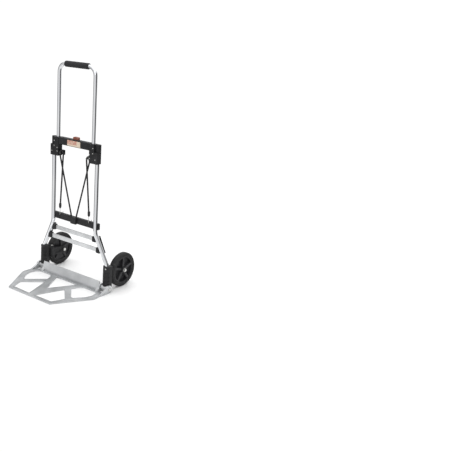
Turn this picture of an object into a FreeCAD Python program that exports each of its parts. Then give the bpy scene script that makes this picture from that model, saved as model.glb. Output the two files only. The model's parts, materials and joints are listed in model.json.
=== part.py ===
"""Folding hand truck with a telescopic handle, in millimetres.

+Z is up, +X is the right-hand side and the toe plate reaches out along -Y.
Sizes are worked out about the plane of the frame tubes (Y = 0) and the floor (Z = 0);
save() then moves each piece back so that the origin is under the middle of the whole truck.
Right-hand pieces are built at +X and mirrored for the left.
"""
import FreeCAD, Part
import math
import os
from FreeCAD import Vector

os.makedirs("parts", exist_ok=True)

# --- telescopic handle ---
HANDLE_X = 119.0            # half the distance between the handle's two legs
HANDLE_R = 9.5
HANDLE_WALL = 1.3
HANDLE_BEND = 42.0
HANDLE_END_Z = 636.0        # where the legs end inside the guide blocks
HANDLE_TOP_Z = 1085.0
GRIP_HALF = 76.5
GRIP_R = 15.0
SLIDE_GAP = 0.35            # round the handle's legs in the guide blocks

# --- frame tubes ---
TUBE_X = 146.4
TUBE_R = 10.75
TUBE_WALL = 1.5
TUBE_TOP_Z = 684.0
SPLAY_Z = 285.0             # where the legs start to spread
FOOT_X = 221.0
FOOT_Y = 9.0
FOOT_Z = 136.0              # where they turn upright again, at the top of the wheel housings
TUBE_END_Z = 62.0
TUBE_BENDS = [60.0, 40.0]
SPLAY = (FOOT_X - TUBE_X) / (SPLAY_Z - FOOT_Z)

# --- guide blocks and upper crossbar ---
BLOCK_Z = (632.5, 726.0)
BLOCK_X = (104.0, 159.0)
BLOCK_Y = (-17.0, 13.0)
CORNER_X = 137.0             # the outer front corner is cut away beyond this ...
CORNER_Y = -7.0              # ... and in front of this ...
STEP_Z = 688.0              # ... above this height
BLOCK_GROOVES_Z = (693.0, 703.0, 713.0)
BOLT_R = 2.8
BOLT_HEIGHT = 1.4
BOLTS = [(131.0, 707.0), (131.0, 682.0), (110.0, 674.0), (110.0, 656.0), (147.0, 654.0)]   # X, Z
TAB_REACH = 22.0            # tab that carries the cord's peg, inwards from the block
TAB_Y = (5.4, 12.0)
TAB_Z = (638.0, 662.0)
BAR_FRONT_Y = -14.0
BAR_BACK_Y = 14.0
UPPER_BAR_Z = (692.0, 727.5)
LABEL_Z = (695.0, 722.5)
LABEL_HALF = 44.0
BUTTON_HALF = 16.5
BUTTON_Y = (-2.6, 12.6)
BUTTON_Z = (712.0, 740.0)
BUTTON_GAP = 0.4
WELL_FLOOR_Z = 705.0
SPRING_WIRE_R = 0.6
SPRING_R = 4.0

# --- lower crossbar and elastic cords ---
LOWER_BAR_Z = (302.5, 334.5)
LOWER_BAR_Y = (2.0, 18.0)
LOWER_BAR_HALF = 160.0
CORD_R = 4.0
PEG = Vector(91.3, 0, 650.0)
PEG_R = 3.0
PEG_HEAD_Y = (-17.0, -15.2)
CLIP_HALF = 18.0
CLIP_FRONT_Y = -8.4
CLIP_Z = (301.0, 336.0)
CLIP_END = Vector(13.0, -2.4, 326.0)
OVER_PEG_OUT = Vector(101.2, 1.0, 658.4)
OVER_PEG_IN = Vector(83.6, -10.5, 658.4)
CORD_BENDS = [7.2, 8.2]      # round the peg
CORD_END = Vector(100.0, 0.5, 370.0)
FERRULE_R = 6.5
FERRULE_Z = (360.0, 385.0)
HOOK_R = 1.2
HOOK_HOLE_Z = 327.0
HOOK_HOLE_R = 2.2

# --- brace bars ---
BRACE_Y = (0.0, 8.0)
BRACES = {"upper": (243.0, 264.0, 142.0), "lower": (192.0, 213.0, 170.0)}   # bottom, top, half length
FITTING_LENGTH = 24.0

# --- wheel housings and folding wheel carriers ---
HOUSING_X = 222.0
HOUSING_R = 19.0
HOUSING_Y = 10.0
HOUSING_BACK_Y = 31.0
HOUSING_Z = (18.0, 132.0)
GROOVES_Z = (36.0, 56.0, 76.0, 97.0)    # shallow grooves round the front of each housing
GROOVE_DEPTH = 2.0
GROOVE_WIDTH = 4.0
BARREL_R = 13.0                         # the bright foot that holds the toe plate's pin
BARREL_X = (204.0, 240.0)
STEM_TOP_Z = 58.0
PIVOT = Vector(198.0, 40.0, 0)      # upright axis that a wheel folds about
PIN_R = 4.0
KNUCKLE_R = 7.5
KNUCKLE_Z = (69.0, 114.0)
LUG_R = 8.5
LUGS_Z = [(61.0, 68.6), (114.4, 126.0)]
RUNNING_GAP = 0.05

# --- wheels ---
WHEEL_R = 87.5
WHEEL_X = 222.0
WHEEL_Y = 122.0
TYRE_WIDTH = 29.0
RIM_R = 68.0
RIM_WALL = 5.0
RIM_HALF = 12.5             # half the rim's width
WEB_X = (216.5, 219.0)      # the thin web sits nearer the inner face
BOSS_R = 15.0
BOSS_X = (205.2, 240.0)
SPOKE_WIDTH = 12.0
SPOKE_HALF_DEPTH = 11.5
AXLE_R = 5.0
SPOKES = 5

# --- toe plate ---
PLATE_T = 5.0
RIM_HEIGHT = 1.5
RIM_WIDTH = 4.0
FRONT_Y = -300.0
HINGE_Z = 20.0
HINGE_PIN_R = 5.0
EAR_R = 19.5
INNER_EAR_X = (186.0, 202.4)
OUTER_EAR_X = (241.6, 252.0)
FLANGE_HALF = 198.0

TUBE_PLANE_Y = (-FRONT_Y - WHEEL_Y - WHEEL_R) / 2      # centres the truck front to back


def along_z(u, v):
    """Place a flat profile in the floor plane."""
    return Vector(u, v, 0)


def along_x(u, v):
    """Place a flat profile in the side plane, u along Y and v along Z."""
    return Vector(0, u, v)


def along_y(u, v):
    """Place a flat profile in the front plane, u along X and v along Z."""
    return Vector(u, 0, v)


def box(x, y, z):
    """A block between pairs of X, Y and Z limits."""
    return Part.makeBox(x[1] - x[0], y[1] - y[0], z[1] - z[0], Vector(x[0], y[0], z[0]))


def rod_x(radius, x, y, z):
    return Part.makeCylinder(radius, x[1] - x[0], Vector(x[0], y, z), Vector(1, 0, 0))


def rod_y(radius, x, y, z):
    return Part.makeCylinder(radius, y[1] - y[0], Vector(x, y[0], z), Vector(0, 1, 0))


def rod_z(radius, x, y, z):
    return Part.makeCylinder(radius, z[1] - z[0], Vector(x, y, z[0]), Vector(0, 0, 1))


def join(shapes):
    """One solid from several that touch or overlap."""
    first = shapes[0]
    return first.fuse(shapes[1:]).removeSplitter() if len(shapes) > 1 else first


def mirrored(shape):
    """The left-hand copy of a right-hand piece."""
    return shape.mirror(Vector(0, 0, 0), Vector(1, 0, 0))


def rounded_wire(points, radius):
    """A closed outline with the same small radius at every corner."""
    edges = []
    count = len(points)
    ends = []
    for i in range(count):
        corner = points[i]
        back = (points[i - 1] - corner).normalize()
        ahead = (points[(i + 1) % count] - corner).normalize()
        half_turn = (math.pi - back.getAngle(ahead)) / 2
        setback = radius * math.tan(half_turn)
        inward = (back + ahead).normalize()
        middle = corner + inward * (radius / math.cos(half_turn) - radius)
        ends.append((corner + back * setback, middle, corner + ahead * setback))
    for i in range(count):
        edges.append(Part.Arc(*ends[i]).toShape())
        edges.append(Part.LineSegment(ends[i][2], ends[(i + 1) % count][0]).toShape())
    return Part.Wire(edges)


def prism(points, plane, radius, start, end):
    """A rounded outline extruded between two positions along the plane's normal."""
    normal = {along_z: Vector(0, 0, 1), along_x: Vector(1, 0, 0), along_y: Vector(0, 1, 0)}[plane]
    corners = [plane(u, v) + normal * start for u, v in points]
    wire = rounded_wire(corners, radius) if radius else Part.makePolygon(corners + corners[:1])
    return Part.Face(wire).extrude(normal * (end - start))


def route(points, bends):
    """Straight runs through the points, joined by tangent arcs."""
    edges = []
    start = points[0]
    for i, radius in enumerate(bends, 1):
        corner = points[i]
        back = (points[i - 1] - corner).normalize()
        ahead = (points[i + 1] - corner).normalize()
        half_turn = (math.pi - back.getAngle(ahead)) / 2
        setback = radius * math.tan(half_turn)
        inward = (back + ahead).normalize()
        middle = corner + inward * (radius / math.cos(half_turn) - radius)
        edges.append(Part.LineSegment(start, corner + back * setback).toShape())
        edges.append(Part.Arc(corner + back * setback, middle, corner + ahead * setback).toShape())
        start = corner + ahead * setback
    edges.append(Part.LineSegment(start, points[-1]).toShape())
    return Part.Wire(edges)


def sweep(points, bends, radius):
    """A round bar along a route."""
    path = route(points, bends)
    circle = Part.Wire([Part.makeCircle(radius, points[0], points[1] - points[0])])
    return path.makePipeShell([circle], True, False)


def wedge_ring(section, radius, x, y, z):
    """A rounded section, given as (x offset, radius) pairs, turned about an X axis."""
    corners = [Vector(x + u, y, z + v) for u, v in section]
    face = Part.Face(rounded_wire(corners, radius))
    return face.revolve(Vector(x, y, z), Vector(1, 0, 0), 360)


def inset(points, distance):
    """The outline moved inwards by a distance (points run anticlockwise)."""
    result = []
    count = len(points)
    for i in range(count):
        (ax, ay), (bx, by), (cx, cy) = points[i - 1], points[i], points[(i + 1) % count]
        first = math.atan2(by - ay, bx - ax)
        second = math.atan2(cy - by, cx - bx)
        half = (second - first) / 2
        middle = first + half + math.pi / 2
        reach = distance / math.cos(half)
        result.append((bx + reach * math.cos(middle), by + reach * math.sin(middle)))
    return result


def leg_x(z):
    """Centre of a splayed leg at a height."""
    return TUBE_X + (SPLAY_Z - z) * SPLAY


def save(name, shape):
    """Move a piece into the truck's frame and write it."""
    moved = shape.copy()
    moved.translate(Vector(0, TUBE_PLANE_Y, 0))
    moved.exportStep("parts/%s.step" % name)


def save_pair(name, shape):
    save(name + "_r", shape)
    save(name + "_l", mirrored(shape))


# ---------------------------------------------------------------- handle

def handle_points():
    return [
        Vector(-HANDLE_X, 0, HANDLE_END_Z),
        Vector(-HANDLE_X, 0, HANDLE_TOP_Z),
        Vector(HANDLE_X, 0, HANDLE_TOP_Z),
        Vector(HANDLE_X, 0, HANDLE_END_Z),
    ]


def handle_tube():
    bends = [HANDLE_BEND, HANDLE_BEND]
    outer = sweep(handle_points(), bends, HANDLE_R)
    inner = sweep(handle_points(), bends, HANDLE_R - HANDLE_WALL)
    return outer.cut(inner)


def handle_grip():
    """Foam sleeve with shallow grooves round it."""
    end_round = 1.35
    section = [
        (-GRIP_HALF, HANDLE_R),
        (GRIP_HALF, HANDLE_R),
        (GRIP_HALF, GRIP_R),
        (-GRIP_HALF, GRIP_R),
    ]
    sleeve = wedge_ring(section, end_round, 0, 0, HANDLE_TOP_Z)
    groove_depth = 0.7
    groove_width = 1.6
    groove_pitch = 10.0
    grooves = []
    for i in range(-6, 7):
        middle = i * groove_pitch
        limits = (middle - groove_width / 2, middle + groove_width / 2)
        ring = rod_x(GRIP_R + 1, limits, 0, HANDLE_TOP_Z)
        grooves.append(ring.cut(rod_x(GRIP_R - groove_depth, limits, 0, HANDLE_TOP_Z)))
    return sleeve.cut(grooves)


def handle_plug():
    """Guide plug closing the lower end of a handle leg."""
    spigot = rod_z(HANDLE_R - HANDLE_WALL, HANDLE_X, 0, (HANDLE_END_Z, HANDLE_END_Z + 16))
    collar = rod_z(HANDLE_R, HANDLE_X, 0, (HANDLE_END_Z - 3, HANDLE_END_Z))
    return join([spigot, collar])


# ---------------------------------------------------------------- guide blocks and upper crossbar

def block_slab(x, front, z):
    """One rectangular length of a guide block, from a front face to the common back."""
    back = BLOCK_Y[1]
    return prism([(x[0], front), (x[1], front), (x[1], back), (x[0], back)], along_z, 2.5, z[0], z[1])


def guide_block():
    """Plastic block that holds a frame tube and lets the handle leg slide through."""
    low, high = BLOCK_Z
    in_x, out_x = BLOCK_X
    lower = block_slab((in_x, out_x), BLOCK_Y[0], (low, STEP_Z))
    inner = block_slab((in_x, CORNER_X), BLOCK_Y[0], (low, high))
    outer = block_slab((in_x, out_x), CORNER_Y, (low, high))
    tab = box((in_x - TAB_REACH, in_x + 3), TAB_Y, TAB_Z)
    slide = rod_z(HANDLE_R + SLIDE_GAP, HANDLE_X, 0, (low - 1, high + 1))
    socket = rod_z(TUBE_R, TUBE_X, 0, (low - 1, TUBE_TOP_Z))
    grooves = [box((in_x + 3, CORNER_X - 4), (BLOCK_Y[0] - 1, BLOCK_Y[0] + 1), (z, z + 1.6))
               for z in BLOCK_GROOVES_Z]
    return join([lower, inner, outer, tab]).cut([slide, socket] + grooves)


def cord_peg():
    shank = rod_y(PEG_R, PEG.x, (PEG_HEAD_Y[1], TAB_Y[0]), PEG.z)
    head = rod_y(2 * PEG_R, PEG.x, PEG_HEAD_Y, PEG.z)
    return join([shank, head])


def block_bolts():
    """Bolt heads on the front of both guide blocks."""
    face = BLOCK_Y[0]
    block = guide_block()
    heads = []
    for x, z in BOLTS:
        head = rod_y(BOLT_R, x, (face - BOLT_HEIGHT, face), z).cut(block)
        heads += [head, mirrored(head)]
    return Part.makeCompound(heads)


def upper_crossbar():
    bar = prism(
        [(BAR_FRONT_Y, UPPER_BAR_Z[0]), (BAR_BACK_Y, UPPER_BAR_Z[0]),
         (BAR_BACK_Y, UPPER_BAR_Z[1]), (BAR_FRONT_Y, UPPER_BAR_Z[1])],
        along_x, 2.5, -BLOCK_X[0], BLOCK_X[0])
    half = BUTTON_HALF + BUTTON_GAP
    well_y = (BUTTON_Y[0] - BUTTON_GAP, BUTTON_Y[1] + BUTTON_GAP)
    well = box((-half, half), well_y, (WELL_FLOOR_Z, UPPER_BAR_Z[1] + 1))
    label_seat = box((-LABEL_HALF, LABEL_HALF), (BAR_FRONT_Y - 1, BAR_FRONT_Y + 0.4), LABEL_Z)
    return bar.cut([well, label_seat])


def label_plate():
    return box((-LABEL_HALF, LABEL_HALF), (BAR_FRONT_Y - 0.4, BAR_FRONT_Y + 0.4), LABEL_Z)


def release_button():
    z0, z1 = BUTTON_Z
    outline = [(-BUTTON_HALF, z0), (BUTTON_HALF, z0), (BUTTON_HALF, z1 - 3), (BUTTON_HALF - 4, z1),
               (-BUTTON_HALF + 4, z1), (-BUTTON_HALF, z1 - 3)]
    button = prism(outline, along_y, 1.0, BUTTON_Y[0], BUTTON_Y[1])
    middle_y = sum(BUTTON_Y) / 2
    recess = rod_z(SPRING_R + SPRING_WIRE_R + 0.6, 0, middle_y, (z0 - 1, z0 + 9))
    ribs = [box((x - 0.6, x + 0.6), (BUTTON_Y[0] + 2, BUTTON_Y[1] - 2), (z1 - 0.8, z1 + 1))
            for x in (-9.0, -3.0, 3.0, 9.0)]
    return button.cut([recess] + ribs)


def button_spring():
    """Plain sleeve that stands for the coil spring under the button."""
    bottom = WELL_FLOOR_Z
    top = BUTTON_Z[0] + 9
    middle_y = sum(BUTTON_Y) / 2
    sleeve = rod_z(SPRING_R, 0, middle_y, (bottom, top))
    return sleeve.cut(rod_z(SPRING_R - 2 * SPRING_WIRE_R, 0, middle_y, (bottom, top)))


# ---------------------------------------------------------------- frame tubes and lower crossbar

def frame_tube_points():
    return [
        Vector(TUBE_X, 0, TUBE_TOP_Z),
        Vector(TUBE_X, 0, SPLAY_Z),
        Vector(FOOT_X, FOOT_Y, FOOT_Z),
        Vector(FOOT_X, FOOT_Y, TUBE_END_Z),
    ]


def frame_tube_outside():
    return sweep(frame_tube_points(), TUBE_BENDS, TUBE_R)


def frame_tube():
    inner = sweep(frame_tube_points(), TUBE_BENDS, TUBE_R - TUBE_WALL)
    return frame_tube_outside().cut(inner)


def lower_crossbar():
    """Plastic bar behind the tubes, hollowed to fit round them."""
    bar = prism(
        [(LOWER_BAR_Y[0], LOWER_BAR_Z[0]), (LOWER_BAR_Y[1], LOWER_BAR_Z[0]),
         (LOWER_BAR_Y[1], LOWER_BAR_Z[1]), (LOWER_BAR_Y[0], LOWER_BAR_Z[1])],
        along_x, 2.0, -LOWER_BAR_HALF, LOWER_BAR_HALF)
    cuts = []
    for side in (-1, 1):
        cuts.append(rod_z(TUBE_R, side * TUBE_X, 0, (LOWER_BAR_Z[0] - 5, LOWER_BAR_Z[1] + 5)))
        cuts.append(rod_y(HOOK_HOLE_R, side * CORD_END.x, (0.0, LOWER_BAR_Y[1] + 2), HOOK_HOLE_Z))
    return bar.cut(cuts)


def bar_screws():
    """Screw heads on the back of the lower crossbar, one behind each tube."""
    screw = rod_y(4.0, TUBE_X, (LOWER_BAR_Y[1], LOWER_BAR_Y[1] + 2.4), sum(LOWER_BAR_Z) / 2)
    return Part.makeCompound([screw, mirrored(screw)])


def elastic_cord():
    corners = [CLIP_END, OVER_PEG_OUT, OVER_PEG_IN, CORD_END]
    return sweep(corners, CORD_BENDS, CORD_R)


def cord_clip():
    """Clip that holds both cords at the middle of the lower crossbar."""
    clip = box((-CLIP_HALF, CLIP_HALF), (CLIP_FRONT_Y, LOWER_BAR_Y[0]), CLIP_Z)
    return clip.cut([elastic_cord(), mirrored(elastic_cord())])


def hook_points():
    return [
        Vector(CORD_END.x, 0.5, FERRULE_Z[0] + 5),
        Vector(CORD_END.x, -0.6, HOOK_HOLE_Z),
        Vector(CORD_END.x, LOWER_BAR_Y[1] + 3, HOOK_HOLE_Z),
        Vector(CORD_END.x, LOWER_BAR_Y[1] + 3, HOOK_HOLE_Z + 13),
    ]


def cord_hook():
    """Wire hook that passes through a hole in the lower crossbar."""
    return sweep(hook_points(), [2.6, 2.6], HOOK_R)


def cord_ferrule():
    """Tapered end fitting that joins the cord to its hook."""
    low, high = FERRULE_Z
    taper = 7.0
    body = rod_z(FERRULE_R, CORD_END.x, CORD_END.y, (low + taper, high))
    nose = Part.makeCone(0.5 * FERRULE_R, FERRULE_R, taper, Vector(CORD_END.x, CORD_END.y, low))
    return join([body, nose]).cut([elastic_cord(), cord_hook()])


# ---------------------------------------------------------------- braces

def brace_bar(name):
    low, high, half = BRACES[name]
    return prism(
        [(BRACE_Y[0], low), (BRACE_Y[1], low), (BRACE_Y[1], high), (BRACE_Y[0], high)],
        along_x, 1.5, -half, half)


def brace_fitting(name):
    """Plastic end piece between a brace bar and a splayed leg."""
    low, high, half = BRACES[name]
    outer_x = half + 12
    body = prism(
        [(outer_x - FITTING_LENGTH, low - 3), (outer_x, low - 3),
         (outer_x - 8, high + 3), (outer_x - FITTING_LENGTH, high + 3)],
        along_y, 2.0, BRACE_Y[0] - 5, BRACE_Y[1] + 5)
    return body.cut([brace_bar(name), frame_tube_outside()])


def leg_strip():
    """Flat strip behind a splayed leg, standing off on two short posts."""
    low, high = 190.0, 268.0
    half = 4.0
    outline = [(leg_x(low) - half, low), (leg_x(low) + half, low),
               (leg_x(high) + half, high), (leg_x(high) - half, high)]
    strip = prism(outline, along_y, 1.0, 21.0, 25.0)
    posts = [rod_y(3.0, leg_x(z), (2.0, 22.0), z) for z in (204.0, 254.0)]
    return join([strip] + posts).cut(frame_tube_outside())


# ---------------------------------------------------------------- wheel housings

def leg_foot():
    """Bright barrel under a housing that the toe plate's hinge pin runs through."""
    barrel = rod_x(BARREL_R, BARREL_X, 0, HINGE_Z)
    stem = rod_z(BARREL_R, HOUSING_X, HOUSING_Y, (HINGE_Z, STEM_TOP_Z))
    return join([barrel, stem]).cut(rod_x(HINGE_PIN_R, BARREL_X, 0, HINGE_Z))


def wheel_housing():
    """Housing over the foot of a leg, with two lugs for the wheel carrier's pin."""
    low, high = HOUSING_Z
    shell = rod_z(HOUSING_R, HOUSING_X, HOUSING_Y, (low, high))
    back = prism(
        [(HOUSING_X - HOUSING_R, HOUSING_Y), (HOUSING_X + HOUSING_R, HOUSING_Y),
         (HOUSING_X + HOUSING_R, HOUSING_BACK_Y), (HOUSING_X - HOUSING_R, HOUSING_BACK_Y)],
        along_z, 1.5, low, high)
    lugs = []
    for limits in LUGS_Z:
        lugs.append(rod_z(LUG_R, PIVOT.x, PIVOT.y, limits))
        web = [(PIVOT.x - LUG_R + 2, PIVOT.y - 4), (PIVOT.x + 5, 24.0), (PIVOT.x + 12, 24.0),
               (PIVOT.x + 12, HOUSING_BACK_Y), (PIVOT.x + LUG_R, PIVOT.y), (PIVOT.x, PIVOT.y + 2)]
        lugs.append(prism(web, along_z, 0, limits[0], limits[1]))
    body = join([shell, back] + lugs)
    bore = rod_z(PIN_R, PIVOT.x, PIVOT.y, (low, high))
    return body.cut([bore, frame_tube_outside(), leg_foot(), toe_hinge_pin()] + housing_grooves())


def housing_grooves():
    grooves = []
    for bottom in GROOVES_Z:
        limits = (bottom, bottom + GROOVE_WIDTH)
        ring = rod_z(HOUSING_R + 1, HOUSING_X, HOUSING_Y, limits).cut(
            rod_z(HOUSING_R - GROOVE_DEPTH, HOUSING_X, HOUSING_Y, limits))
        reach = HOUSING_R + 1
        front = box((HOUSING_X - reach, HOUSING_X + reach), (HOUSING_Y - reach, HOUSING_Y), limits)
        grooves.append(ring.common(front))
    return grooves


def housing_screws():
    """Screw heads low on the front of both housings' upper ends."""
    x = HOUSING_X + 7
    face = HOUSING_Y - math.sqrt(HOUSING_R ** 2 - (x - HOUSING_X) ** 2)
    screw = rod_y(3.6, x, (face - 1.2, face + 3.0), 122.0)
    screw = screw.cut(rod_z(HOUSING_R, HOUSING_X, HOUSING_Y, HOUSING_Z))
    return Part.makeCompound([screw, mirrored(screw)])


def carrier_pin():
    shank = rod_z(PIN_R, PIVOT.x, PIVOT.y, (LUGS_Z[0][0] - 2.0, LUGS_Z[1][1]))
    head = rod_z(1.6 * PIN_R, PIVOT.x, PIVOT.y, (LUGS_Z[1][1], LUGS_Z[1][1] + 3))
    return join([shank, head])


def wheel_carrier():
    """Tapered arm from the folding pin to the axle, on the inner side of the wheel."""
    knuckle = rod_z(KNUCKLE_R, PIVOT.x, PIVOT.y, KNUCKLE_Z)
    boss_r = 16.0
    outline = [(PIVOT.y, KNUCKLE_Z[0]), (WHEEL_Y, WHEEL_R - boss_r), (WHEEL_Y, WHEEL_R + boss_r),
               (PIVOT.y, KNUCKLE_Z[1])]
    arm = prism(outline, along_x, 0, 191.5, 201.5)
    boss = rod_x(boss_r, (190.5, 204.6), WHEEL_Y, WHEEL_R)
    body = join([knuckle, arm, boss])
    bore = rod_z(PIN_R + RUNNING_GAP, PIVOT.x, PIVOT.y, (KNUCKLE_Z[0] - 1, KNUCKLE_Z[1] + 1))
    pocket = prism(
        [(60.0, 78.0), (98.0, 80.0), (98.0, 95.0), (60.0, 102.0)], along_x, 3.0, 190.0, 194.5)
    return body.cut([bore, pocket, rod_x(AXLE_R, (185.0, 210.0), WHEEL_Y, WHEEL_R)])


def axle_bolt():
    """Axle with a flanged head outside the wheel and a nut on the inner end."""
    nut_end = 183.5
    nut_face = 190.5
    flange_x = (240.6, 242.6)
    head_end = 249.0
    shank = rod_x(AXLE_R, (nut_end + 2.5, flange_x[1]), WHEEL_Y, WHEEL_R)
    flange = rod_x(9.0, flange_x, WHEEL_Y, WHEEL_R)
    head = rod_x(7.0, (flange_x[0], head_end), WHEEL_Y, WHEEL_R)
    nut = rod_x(8.0, (nut_end, nut_face), WHEEL_Y, WHEEL_R)
    return join([shank, flange, head, nut])


# ---------------------------------------------------------------- wheels

def tyre():
    half = TYRE_WIDTH / 2
    section = [(-half, RIM_R), (half, RIM_R), (half, WHEEL_R - 5), (half - 6, WHEEL_R),
               (-half + 6, WHEEL_R), (-half, WHEEL_R - 5)]
    return wedge_ring(section, 1.5, WHEEL_X, WHEEL_Y, WHEEL_R)


def wheel_hub():
    """Spoked plastic wheel centre: rim, thin web, spokes and boss."""
    inside = RIM_R - RIM_WALL
    rim = rod_x(RIM_R, (WHEEL_X - RIM_HALF, WHEEL_X + RIM_HALF), WHEEL_Y, WHEEL_R)
    rim = rim.cut(rod_x(inside, (WHEEL_X - 2 * RIM_HALF, WHEEL_X + 2 * RIM_HALF), WHEEL_Y, WHEEL_R))
    web = rod_x(inside + 1, WEB_X, WHEEL_Y, WHEEL_R)
    boss = rod_x(BOSS_R, BOSS_X, WHEEL_Y, WHEEL_R)
    spokes = []
    for i in range(SPOKES):
        spoke = box((WHEEL_X - SPOKE_HALF_DEPTH, WHEEL_X + SPOKE_HALF_DEPTH),
                    (WHEEL_Y - SPOKE_WIDTH / 2, WHEEL_Y + SPOKE_WIDTH / 2),
                    (WHEEL_R + BOSS_R / 2, WHEEL_R + inside + 1))
        spoke.rotate(Vector(WHEEL_X, WHEEL_Y, WHEEL_R), Vector(1, 0, 0), i * 360 / SPOKES)
        spokes.append(spoke)
    bore = rod_x(AXLE_R + RUNNING_GAP, BOSS_X, WHEEL_Y, WHEEL_R)
    return join([rim, web, boss] + spokes).cut(bore)


# ---------------------------------------------------------------- toe plate

PLATE_OUTLINE = [(-145.0, FRONT_Y), (145.0, FRONT_Y), (253.0, -113.0), (250.0, -40.0),
                 (212.0, -24.0), (-212.0, -24.0), (-250.0, -40.0), (-253.0, -113.0)]
MIDDLE_HOLE = [(0.0, -182.0), (74.0, -44.0), (40.0, -39.0), (-40.0, -39.0), (-74.0, -44.0)]
FRONT_HOLE = [(16.0, -281.0), (134.0, -278.0), (158.0, -212.0), (72.0, -128.0), (60.0, -150.0)]
SIDE_HOLE = [(86.0, -97.0), (163.0, -176.0), (176.0, -176.0), (212.0, -128.0), (222.0, -92.0),
             (216.0, -60.0), (200.0, -42.0), (124.0, -40.0), (98.0, -62.0)]


def flip(points):
    """Mirror an outline to the left and keep it anticlockwise."""
    return [(-x, y) for x, y in reversed(points)]


def plate_holes():
    return [MIDDLE_HOLE, FRONT_HOLE, flip(FRONT_HOLE), SIDE_HOLE, flip(SIDE_HOLE)]


def raised_rims():
    """Low ridges along the plate's outer edge and round each hole."""
    top = PLATE_T + RIM_HEIGHT
    rims = []
    outer = prism(PLATE_OUTLINE, along_z, 5.0, PLATE_T - 1, top)
    rims.append(outer.cut(prism(inset(PLATE_OUTLINE, RIM_WIDTH), along_z, 3.0, 0, top + 1)))
    for hole in plate_holes():
        ring = prism(inset(hole, -RIM_WIDTH), along_z, 8.0, PLATE_T - 1, top)
        rims.append(ring.cut(prism(hole, along_z, 5.0, 0, top + 1)))
    return rims


def toe_ears():
    """Round hinge ears either side of a housing, with the arms that carry them."""
    ears = []
    for limits, reach in ((INNER_EAR_X, -34.0), (OUTER_EAR_X, -60.0)):
        disc = rod_x(EAR_R, limits, 0, HINGE_Z)
        arm = prism([(reach, 0.0), (0.0, 0.6), (0.0, HINGE_Z + 8), (-14.0, HINGE_Z + 8),
                     (reach, PLATE_T)], along_x, 0, limits[0], limits[1])
        ears.append(join([disc, arm]))
    return ears


def toe_plate():
    holes = [prism(hole, along_z, 5.0, -1, PLATE_T + 5) for hole in plate_holes()]
    plate = prism(PLATE_OUTLINE, along_z, 5.0, 0, PLATE_T).cut(holes)
    flange = prism([(-30.0, 0.0), (-22.0, 0.0), (-11.0, 52.0), (-13.8, 53.6), (-24.9, 3.0)],
                   along_x, 0, -FLANGE_HALF, FLANGE_HALF)
    right = toe_ears()
    pieces = [plate] + raised_rims() + [flange] + right + [mirrored(ear) for ear in right]
    body = join(pieces)
    bores = []
    for side in (-1, 1):
        reach = sorted((side * 180.0, side * 260.0))
        bores.append(rod_x(HINGE_PIN_R + RUNNING_GAP, reach, 0, HINGE_Z))
    return body.cut(bores)


def toe_hinge_pin():
    """Pin through both ears and the leg's foot, with a head at each end."""
    gap = 0.4
    inner_head_x = (INNER_EAR_X[0] - gap - 4.1, INNER_EAR_X[0] - gap)
    outer_head_x = (OUTER_EAR_X[1] + gap, OUTER_EAR_X[1] + gap + 3)
    shank = rod_x(HINGE_PIN_R, (inner_head_x[0], outer_head_x[1]), 0, HINGE_Z)
    heads = [rod_x(1.6 * HINGE_PIN_R, limits, 0, HINGE_Z) for limits in (inner_head_x, outer_head_x)]
    return join([shank] + heads)


# ---------------------------------------------------------------- write every piece

save("handle_tube", handle_tube())
save("handle_grip", handle_grip())
save_pair("handle_plug", handle_plug())

save_pair("guide_block", guide_block())
save_pair("cord_peg", cord_peg())
save("block_bolts", block_bolts())
save("upper_crossbar", upper_crossbar())
save("label_plate", label_plate())
save("release_button", release_button())
save("button_spring", button_spring())

save_pair("frame_tube", frame_tube())
save("lower_crossbar", lower_crossbar())
save("bar_screws", bar_screws())
save("cord_clip", cord_clip())
save_pair("elastic_cord", elastic_cord())
save_pair("cord_ferrule", cord_ferrule())
save_pair("cord_hook", cord_hook())

for brace in BRACES:
    save("brace_bar_" + brace, brace_bar(brace))
    save_pair("brace_fitting_" + brace, brace_fitting(brace))
save_pair("leg_strip", leg_strip())

save_pair("leg_foot", leg_foot())
save_pair("wheel_housing", wheel_housing())
save("housing_screws", housing_screws())
save_pair("carrier_pin", carrier_pin())
save_pair("wheel_carrier", wheel_carrier())
save_pair("axle_bolt", axle_bolt())
save_pair("wheel_hub", wheel_hub())
save_pair("tyre", tyre())

save("toe_plate", toe_plate())
save_pair("toe_hinge_pin", toe_hinge_pin())
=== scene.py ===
"""Looks for the folding hand truck: materials, cords, foam grip, studio and camera.

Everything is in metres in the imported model's frame: +Z up, the toe plate towards -Y.
"""
import json
import math

import bpy
from mathutils import Matrix, Vector


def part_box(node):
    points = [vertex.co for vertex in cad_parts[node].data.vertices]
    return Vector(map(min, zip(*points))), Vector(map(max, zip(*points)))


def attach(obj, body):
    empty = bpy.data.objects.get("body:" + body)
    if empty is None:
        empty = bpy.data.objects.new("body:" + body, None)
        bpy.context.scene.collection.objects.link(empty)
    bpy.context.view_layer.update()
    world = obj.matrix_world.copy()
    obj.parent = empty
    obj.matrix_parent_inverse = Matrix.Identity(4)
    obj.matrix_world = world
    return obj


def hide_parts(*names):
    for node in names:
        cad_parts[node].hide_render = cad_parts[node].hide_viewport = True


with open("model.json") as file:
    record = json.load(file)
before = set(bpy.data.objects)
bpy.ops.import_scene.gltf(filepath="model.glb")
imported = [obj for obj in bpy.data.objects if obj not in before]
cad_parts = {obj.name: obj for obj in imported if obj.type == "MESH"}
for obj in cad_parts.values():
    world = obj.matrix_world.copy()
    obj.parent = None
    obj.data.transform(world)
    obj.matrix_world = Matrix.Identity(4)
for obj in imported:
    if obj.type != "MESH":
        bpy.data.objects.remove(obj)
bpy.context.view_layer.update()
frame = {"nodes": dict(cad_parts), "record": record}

# --- camera ---
CAMERA_PLACE = Vector((2.3553, -2.3581, 1.3504))
CAMERA_TURN = 38.0           # degrees left of +Y
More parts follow.
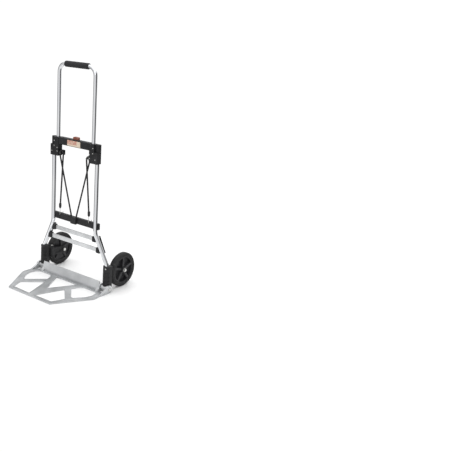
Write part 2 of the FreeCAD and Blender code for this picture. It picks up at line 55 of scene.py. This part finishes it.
CAMERA_DIP = 15.48           # degrees below level
CAMERA_ROLL = 2.98           # degrees
CAMERA_LENS = 55.59          # millimetres
CAMERA_SENSOR = 36.0         # millimetres
CAMERA_SHIFT = (0.168, -0.049)

# --- lamps: name, place, width and power in watts ---
LAMPS = [
    ("overhead", Vector((0.2, -0.3, 3.4)), 4.0, 45.0),
    ("key", Vector((1.8, -2.8, 2.4)), 2.2, 14.0),
    ("back", Vector((-0.8, 3.0, 2.4)), 1.8, 30.0),
]
LAMP_TARGET = Vector((0, 0, 0.45))

# --- floor and surroundings ---
FLOOR_RADIUS = 0.75
FLOOR_SIDES = 96
BACKDROP_BRIGHTNESS = 1.05   # as the camera sees it
# What the metal reflects, as (place from 0 to 1, brightness) stops, the brighter of the two ramps:
# bright only overhead by height, and with two dark sectors round the horizon by turn.
SKY_BY_HEIGHT = [(0.0, 0.0), (0.66, 0.0), (0.76, 0.9), (1.0, 1.0)]
SKY_BY_TURN = [(0.0, 0.12), (0.04, 0.12), (0.08, 0.55), (0.20, 0.85), (0.38, 0.85), (0.45, 0.5),
               (0.48, 0.02), (0.61, 0.02), (0.64, 0.7), (0.93, 0.7), (0.96, 0.12), (1.0, 0.12)]

# --- elastic cords ---
CORD_DIAMETER = 0.008
# Each route runs from the middle clip, over the peg and down to the ferrule.
RIGHT_CORD_ROUTE = [
    Vector((0.0130, 0.04285, 0.3260)),
    Vector((0.0897, 0.04585, 0.6149)),
    Vector((0.1012, 0.04625, 0.6584)),
    Vector((0.0836, 0.03475, 0.6584)),
    Vector((0.0862, 0.03645, 0.6135)),
    Vector((0.1000, 0.04575, 0.3700)),
]
# The left cord goes over its peg from front to back, so its strands cross the other way round.
LEFT_CORD_ROUTE = [
    Vector((-0.0130, 0.04285, 0.3260)),
    Vector((-0.0897, 0.03580, 0.6149)),
    Vector((-0.1012, 0.03475, 0.6584)),
    Vector((-0.0836, 0.04625, 0.6584)),
    Vector((-0.0862, 0.04615, 0.6135)),
    Vector((-0.1000, 0.04575, 0.3700)),
]

# --- foam grip ---
FOAM_THICKNESS = 0.0054      # leaves 0.1 mm round the tube
FOAM_RING_PITCH = 0.010
FOAM_RING_DEPTH = 0.0006
FOAM_END_ROUND = 0.004
FOAM_END_DRAW = 0.7          # how far the rims draw in, as a share of FOAM_END_ROUND
FOAM_STEPS = 181             # along the sleeve
FOAM_SIDES = 64

# --- finishes ---
EDGE_ROUND = 0.0006          # softened edge of most parts
FLANGE_LIGHT_FADE = (0.008, 0.018)  # heights between which the toe plate turns from its plain tone to painted light on the upright flange
# The label's reddish block stops short of its right side and its foot, with blurred edges.
RED_RIGHT_MARGIN = 0.024
RED_RIGHT_BLUR = 0.0015
RED_FOOT_MARGIN = 0.0065
RED_FOOT_BLUR = 0.001


# ---------------------------------------------------------------- material helpers

def new_material(name, colour, roughness, metallic=0.0):
    """A material with its plain values on the shader's own sockets."""
    material = bpy.data.materials.new(name)
    material.use_nodes = True
    shader = material.node_tree.nodes["Principled BSDF"]
    shader.inputs["Base Color"].default_value = (*colour, 1.0)
    shader.inputs["Roughness"].default_value = roughness
    shader.inputs["Metallic"].default_value = metallic
    return material


def shader_of(material):
    return material.node_tree.nodes["Principled BSDF"]


def node(material, kind, values=None, **settings):
    """Add a node, with its settings and unlinked input values."""
    made = material.node_tree.nodes.new(kind)
    for key, value in settings.items():
        setattr(made, key, value)
    for key, value in (values or {}).items():
        made.inputs[key].default_value = value
    return made


def link(material, source, target):
    material.node_tree.links.new(source, target)


def place(material, scale=(1, 1, 1), turn=(0, 0, 0)):
    """Object coordinates in metres, scaled and turned."""
    where = node(material, "ShaderNodeTexCoord")
    mapping = node(material, "ShaderNodeMapping", {"Scale": scale, "Rotation": turn})
    link(material, where.outputs["Object"], mapping.inputs["Vector"])
    return mapping.outputs["Vector"]


def noise(material, scale, detail=4.0, stretch=(1, 1, 1)):
    texture = node(material, "ShaderNodeTexNoise", {"Scale": scale, "Detail": detail})
    link(material, place(material, stretch), texture.inputs["Vector"])
    return texture.outputs["Fac"]


def spread(material, source, low, high, start=0.35, end=0.65):
    """Map a texture's middle range onto low..high."""
    ramp = node(material, "ShaderNodeMapRange",
                {"From Min": start, "From Max": end, "To Min": low, "To Max": high})
    link(material, source, ramp.inputs["Value"])
    return ramp.outputs["Result"]


def mix(material, factor, first, second):
    """Blend two colours, each a tuple or another node's output."""
    blend = node(material, "ShaderNodeMix", data_type="RGBA")
    link(material, factor, blend.inputs["Factor"])
    for socket, value in (("A", first), ("B", second)):
        target = [s for s in blend.inputs if s.name == socket and s.type == "RGBA"][0]
        if isinstance(value, tuple):
            target.default_value = (*value, 1.0)
        else:
            link(material, value, target)
    return [s for s in blend.outputs if s.type == "RGBA"][0]


def multiply(material, first, second):
    product = node(material, "ShaderNodeMath", operation="MULTIPLY")
    link(material, first, product.inputs[0])
    link(material, second, product.inputs[1])
    return product.outputs["Value"]


def tint_by(material, source, dark, light, start=0.35, end=0.65):
    """Colour the surface from dark to light by the middle range of a texture."""
    tint = mix(material, spread(material, source, 0.0, 1.0, start, end), dark, light)
    link(material, tint, shader_of(material).inputs["Base Color"])


def roughen_by(material, source, low, high):
    """Vary the roughness from low to high by the middle range of a texture."""
    link(material, spread(material, source, low, high), shader_of(material).inputs["Roughness"])


def rounded_bump(material, height, distance, edge=EDGE_ROUND):
    """Surface relief on top of softly rounded edges."""
    edges = node(material, "ShaderNodeBevel", {"Radius": edge}, samples=4)
    bump = node(material, "ShaderNodeBump", {"Strength": 1.0, "Distance": distance})
    link(material, height, bump.inputs["Height"])
    link(material, edges.outputs["Normal"], bump.inputs["Normal"])
    link(material, bump.outputs["Normal"], shader_of(material).inputs["Normal"])


# ---------------------------------------------------------------- materials

def chrome(name):
    """Polished tube with faint smears along it."""
    material = new_material(name, (0.80, 0.81, 0.83), roughness=0.12, metallic=1.0)
    smears = noise(material, scale=60.0, stretch=(1, 1, 0.15))
    roughen_by(material, smears, low=0.04, high=0.10)
    clouds = noise(material, scale=9.0, detail=2.0)
    tint_by(material, clouds, dark=(0.76, 0.77, 0.80), light=(0.84, 0.85, 0.86))
    rounded_bump(material, noise(material, scale=35.0, detail=1.0), distance=0.00002)
    return material


def satin_aluminium(name, dark, light, grain=(1, 1, 1), rough=(0.30, 0.46)):
    """Aluminium with a fine grain, slightly uneven in tone."""
    material = new_material(name, light, roughness=rough[0], metallic=1.0)
    patches = noise(material, scale=14.0, detail=3.0)
    tint_by(material, patches, dark, light)
    fine = noise(material, scale=420.0, detail=3.0, stretch=grain)
    roughen_by(material, fine, *rough)
    rounded_bump(material, fine, distance=0.00006)
    return material


def plate_aluminium(name):
    """Toe plate: plain tone on its flat part, painted lighter on the flange where the light falls on it.
    """
    material = satin_aluminium(name, (0.46, 0.47, 0.48), (0.59, 0.60, 0.61), rough=(0.38, 0.55))
    colour = shader_of(material).inputs["Base Color"]
    flat_tone = colour.links[0].from_socket
    parts = node(material, "ShaderNodeSeparateXYZ")
    link(material, place(material), parts.inputs["Vector"])
    # Painted light: the flange is coloured lighter by height, standing in for the light that falls on it.
    flange_light_mask = spread(material, parts.outputs["Z"], 0.0, 1.0, *FLANGE_LIGHT_FADE)
    clouds = spread(material, noise(material, scale=11.0, detail=3.0), 0.0, 1.0)
    bright = mix(material, clouds, (0.60, 0.61, 0.62), (0.72, 0.73, 0.74))
    link(material, mix(material, flange_light_mask, flat_tone, bright), colour)
    return material


def zinc_steel(name, dark, light):
    """Zinc-plated steel with a faint spangle."""
    material = new_material(name, light, roughness=0.3, metallic=1.0)
    spots = noise(material, scale=240.0, detail=3.0)
    tint_by(material, spots, dark, light)
    roughen_by(material, spots, low=0.20, high=0.38)
    rounded_bump(material, spots, distance=0.00004, edge=0.0004)
    return material


def moulded_plastic(name, dark, light, rough=(0.40, 0.58)):
    """Moulded plastic with a fine spark-eroded texture and a little dust."""
    material = new_material(name, dark, roughness=rough[0])
    shader_of(material).inputs["Specular IOR Level"].default_value = 0.3
    dust = noise(material, scale=18.0, detail=6.0)
    tint_by(material, dust, dark, light, start=0.40, end=0.75)
    roughen_by(material, dust, *rough)
    rounded_bump(material, noise(material, scale=700.0, detail=2.0), distance=0.00009, edge=0.0008)
    return material


def tyre_rubber(name):
    """Matt rubber with light scuffing and moulding lines round the tread."""
    material = new_material(name, (0.022, 0.022, 0.024), roughness=0.7)
    shader_of(material).inputs["Specular IOR Level"].default_value = 0.3
    scuffs = noise(material, scale=55.0, detail=6.0)
    tint_by(material, scuffs, dark=(0.014, 0.014, 0.015), light=(0.048, 0.047, 0.046),
            start=0.45, end=0.8)
    roughen_by(material, scuffs, low=0.55, high=0.80)
    rings = node(material, "ShaderNodeTexWave", {"Scale": 62.0, "Distortion": 0.0},
                 wave_type="BANDS", bands_direction="X")
    link(material, place(material), rings.inputs["Vector"])
    rounded_bump(material, rings.outputs["Fac"], distance=0.00025, edge=0.0015)
    return material


def foam(name):
    """Closed-cell foam with fine open pores, painted darker in their hollows as shade."""
    material = new_material(name, (0.028, 0.028, 0.030), roughness=0.9)
    shader = shader_of(material)
    shader.inputs["Sheen Weight"].default_value = 0.08
    shader.inputs["Specular IOR Level"].default_value = 0.25
    pores = node(material, "ShaderNodeTexVoronoi", {"Scale": 900.0})
    link(material, place(material), pores.inputs["Vector"])
    # Painted shade: the pore hollows, low in the bump below, are coloured darker.
    tint_by(material, pores.outputs["Distance"], dark=(0.008, 0.008, 0.009), light=(0.028, 0.028, 0.030),
            start=0.1, end=0.6)
    rounded_bump(material, pores.outputs["Distance"], distance=0.0003, edge=0.001)
    return material


def braid(name):
    """Woven sheath of an elastic cord: two crossed sets of diagonal threads, painted darker between them
    as shade.
    """
    material = new_material(name, (0.02, 0.02, 0.022), roughness=0.75)
    sets = []
    for lean in (0.9, -0.9):
        threads = node(material, "ShaderNodeTexWave", {"Scale": 260.0, "Distortion": 0.6})
        link(material, place(material, turn=(lean, 0, lean)), threads.inputs["Vector"])
        sets.append(threads.outputs["Fac"])
    weave = multiply(material, *sets)
    # Painted shade: darker where the weave is low, between the threads.
    tint = mix(material, weave, (0.008, 0.008, 0.009), (0.040, 0.040, 0.043))
    link(material, tint, shader_of(material).inputs["Base Color"])
    rounded_bump(material, weave, distance=0.0004, edge=0.0003)
    return material


def label_print(name):
    """Pale sticker with plain soft blocks of colour and no lettering."""
    material = new_material(name, (0.80, 0.68, 0.58), roughness=0.35)
    shader = shader_of(material)
    shader.inputs["Coat Weight"].default_value = 0.3
    low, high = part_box("label_plate")
    right_edge = high.x - RED_RIGHT_MARGIN
    foot_edge = low.z + RED_FOOT_MARGIN
    parts = node(material, "ShaderNodeSeparateXYZ")
    link(material, place(material), parts.inputs["Vector"])
    left_of_edge = spread(material, parts.outputs["X"], 1.0, 0.0, right_edge, right_edge + RED_RIGHT_BLUR)
    above_foot = spread(material, parts.outputs["Z"], 0.0, 1.0, foot_edge, foot_edge + RED_FOOT_BLUR)
    blotches = spread(material, noise(material, scale=120.0, detail=3.0), 0.25, 0.85)
    redness = multiply(material, multiply(material, left_of_edge, above_foot), blotches)
    tint = mix(material, redness, (0.72, 0.60, 0.47), (0.50, 0.15, 0.11))
    link(material, tint, shader.inputs["Base Color"])
    rounded_bump(material, noise(material, scale=300.0), distance=0.00002)
    return material


def floor_material():
    """Nearly white and matt, with a very faint cloudiness."""
    material = new_material("floor", (0.93, 0.93, 0.93), roughness=0.6)
    tint_by(material, noise(material, scale=2.0), dark=(0.915, 0.915, 0.915), light=(0.94, 0.94, 0.94))
    return material


MATERIALS = {
    "handle_chrome": chrome("handle_chrome"),
    "frame_chrome": chrome("frame_chrome"),
    "black_plastic": moulded_plastic("black_plastic", (0.010, 0.010, 0.011), (0.026, 0.026, 0.028)),
    "peg_steel": zinc_steel("peg_steel", (0.06, 0.06, 0.06), (0.12, 0.12, 0.12)),
    "bolt_steel": zinc_steel("bolt_steel", (0.52, 0.52, 0.50), (0.72, 0.72, 0.70)),
    "label": label_print("label"),
    "button_red": moulded_plastic("button_red", (0.26, 0.085, 0.055), (0.34, 0.14, 0.10), (0.3, 0.42)),
    "cord_elastic": braid("cord_elastic"),
    "brace_aluminium": satin_aluminium("brace_aluminium", (0.60, 0.61, 0.62), (0.69, 0.70, 0.71),
                                       (0.05, 1, 1), (0.22, 0.36)),
    "foot_aluminium": satin_aluminium("foot_aluminium", (0.52, 0.53, 0.54), (0.64, 0.65, 0.66)),
    "plate_aluminium": plate_aluminium("plate_aluminium"),
    "hub_plastic": moulded_plastic("hub_plastic", (0.019, 0.019, 0.021), (0.045, 0.045, 0.048),
                                   (0.36, 0.5)),
    "tyre_rubber": tyre_rubber("tyre_rubber"),
    "grip_foam": foam("grip_foam"),
}


def dress_cad():
    """Give every CAD node the material of its slot in the record."""
    for part in frame["record"]["subparts"]:
        cad = frame["nodes"][part["node"]]
        cad.data.materials.clear()
        cad.data.materials.append(MATERIALS[part["material_slot"]])


# ---------------------------------------------------------------- cords

def elastic_cord(name, route, suffix):
    """Braided cord along one route, standing for the CAD cord with that suffix."""
    curve = bpy.data.curves.new(name, "CURVE")
    curve.dimensions = "3D"
    curve.bevel_depth = CORD_DIAMETER / 2
    curve.bevel_resolution = 6
    curve.resolution_u = 16
    spline = curve.splines.new("NURBS")
    spline.points.add(len(route) - 1)
    for point, spot in zip(spline.points, route):
        point.co = (*spot, 1.0)
    spline.order_u = 3
    spline.use_endpoint_u = True
    cord = bpy.data.objects.new(name, curve)
    bpy.context.scene.collection.objects.link(cord)
    curve.materials.append(MATERIALS["cord_elastic"])
    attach(cord, "frame")
    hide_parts("elastic_cord" + suffix)


# ---------------------------------------------------------------- foam grip

def grip_radius(along, half, radius):
    """Outline of the sleeve: rounded ends and shallow rings."""
    into_end = max(0.0, FOAM_END_ROUND - (half - abs(along)))
    tuck = FOAM_END_DRAW * into_end ** 2 / FOAM_END_ROUND
    ring = FOAM_RING_DEPTH * 0.5 * (1 + math.cos(2 * math.pi * along / FOAM_RING_PITCH))
    return radius - ring - tuck


def sleeve_profile(half, radius):
    """Points (along, radius) of the sleeve, from the tube at one end to the tube at the other."""
    tube_radius = radius - FOAM_THICKNESS
    profile = [(-half, tube_radius)]
    for step in range(FOAM_STEPS):
        along = -half + 2 * half * step / (FOAM_STEPS - 1)
        profile.append((along, grip_radius(along, half, radius)))
    profile.append((half, tube_radius))
    return profile


def foam_grip():
    """Ringed foam sleeve on the handle's top bar."""
    low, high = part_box("handle_grip")
    middle = (low + high) / 2
    profile = sleeve_profile((high.x - low.x) / 2, (high.z - low.z) / 2)
    vertices = []
    for along, reach in profile:
        for side in range(FOAM_SIDES):
            angle = 2 * math.pi * side / FOAM_SIDES
            vertices.append((middle.x + along, middle.y + reach * math.cos(angle),
                             middle.z + reach * math.sin(angle)))
    faces = []
    for start in range(0, (len(profile) - 1) * FOAM_SIDES, FOAM_SIDES):
        for side in range(FOAM_SIDES):
            ahead = (side + 1) % FOAM_SIDES
            faces.append((start + side, start + ahead,
                          start + FOAM_SIDES + ahead, start + FOAM_SIDES + side))
    mesh = bpy.data.meshes.new("foam_sleeve")
    mesh.from_pydata(vertices, [], faces)
    mesh.shade_smooth()
    mesh.materials.append(MATERIALS["grip_foam"])
    sleeve = bpy.data.objects.new("foam_sleeve", mesh)
    bpy.context.scene.collection.objects.link(sleeve)
    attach(sleeve, "handle")
    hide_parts("handle_grip")


# ---------------------------------------------------------------- studio and camera

def floor():
    """A plain pale disc under the truck."""
    rim = []
    for side in range(FLOOR_SIDES):
        angle = 2 * math.pi * side / FLOOR_SIDES
        rim.append((FLOOR_RADIUS * math.cos(angle), FLOOR_RADIUS * math.sin(angle), 0))
    mesh = bpy.data.meshes.new("floor")
    mesh.from_pydata(rim, [], [tuple(range(FLOOR_SIDES))])
    mesh.materials.append(floor_material())
    disc = bpy.data.objects.new("floor", mesh)
    bpy.context.scene.collection.objects.link(disc)


def soft_light(name, spot, width, power):
    """A large square lamp aimed at the middle of the truck."""
    light = bpy.data.lights.new(name, "AREA")
    light.size = width
    light.energy = power
    lamp = bpy.data.objects.new(name, light)
    lamp.location = spot
    lamp.rotation_euler = (LAMP_TARGET - spot).to_track_quat("-Z", "Y").to_euler()
    bpy.context.scene.collection.objects.link(lamp)


def ramp_stops(ramp, stops):
    """Set a grey colour ramp from (position, brightness) pairs."""
    points = ramp.color_ramp.elements
    while len(points) < len(stops):
        points.new(0.5)
    for point, (position, grey) in zip(points, stops):
        point.position = position
        point.color = (grey, grey, grey, 1)


def studio_world():
    """White behind the truck, with the darker and lighter parts of a studio to reflect."""
    world = bpy.data.worlds.new("studio")
    bpy.context.scene.world = world
    world.use_nodes = True
    tree = world.node_tree
    add = tree.nodes.new
    where = add("ShaderNodeTexCoord")
    parts = add("ShaderNodeSeparateXYZ")
    height = add("ShaderNodeMapRange")
    height.inputs["From Min"].default_value = -1.0
    by_height = add("ShaderNodeValToRGB")
    ramp_stops(by_height, SKY_BY_HEIGHT)
    around = add("ShaderNodeTexGradient")
    around.gradient_type = "RADIAL"
    by_turn = add("ShaderNodeValToRGB")
    ramp_stops(by_turn, SKY_BY_TURN)
    brighter = add("ShaderNodeMath")
    brighter.operation = "MAXIMUM"
    ray = add("ShaderNodeLightPath")
    choose = add("ShaderNodeMix")
    choose.inputs["B"].default_value = BACKDROP_BRIGHTNESS
    background = tree.nodes["Background"]
    background.inputs["Color"].default_value = (1, 1, 1, 1)
    links = tree.links.new
    links(where.outputs["Generated"], parts.inputs["Vector"])
    links(parts.outputs["Z"], height.inputs["Value"])
    links(height.outputs["Result"], by_height.inputs["Fac"])
    links(where.outputs["Generated"], around.inputs["Vector"])
    links(around.outputs["Fac"], by_turn.inputs["Fac"])
    links(by_height.outputs["Color"], brighter.inputs[0])
    links(by_turn.outputs["Color"], brighter.inputs[1])
    links(brighter.outputs["Value"], choose.inputs["A"])
    links(ray.outputs["Is Camera Ray"], choose.inputs["Factor"])
    links(choose.outputs["Result"], background.inputs["Strength"])


def studio():
    floor()
    studio_world()
    for lamp in LAMPS:
        soft_light(*lamp)


def camera():
    """Camera built from its turn, dip and roll, looking along its own -Z."""
    turn = math.radians(CAMERA_TURN)
    dip = math.radians(CAMERA_DIP)
    roll = math.radians(CAMERA_ROLL)
    ahead = Vector((-math.sin(turn) * math.cos(dip), math.cos(turn) * math.cos(dip), -math.sin(dip)))
    level = Vector((math.cos(turn), math.sin(turn), 0))
    above = level.cross(ahead)
    right = level * math.cos(roll) + above * math.sin(roll)
    up = above * math.cos(roll) - level * math.sin(roll)
    lens = bpy.data.cameras.new("camera")
    lens.lens = CAMERA_LENS
    lens.sensor_width = CAMERA_SENSOR
    lens.shift_x, lens.shift_y = CAMERA_SHIFT
    eye = bpy.data.objects.new("camera", lens)
    turned = Matrix((right, up, -ahead)).transposed()
    eye.matrix_world = Matrix.Translation(CAMERA_PLACE) @ turned.to_4x4()
    bpy.context.scene.collection.objects.link(eye)
    bpy.context.scene.camera = eye


camera()
elastic_cord("cord_right", RIGHT_CORD_ROUTE, "_r")
elastic_cord("cord_left", LEFT_CORD_ROUTE, "_l")
dress_cad()
foam_grip()
studio()
bpy.context.scene.view_settings.view_transform = "Standard"
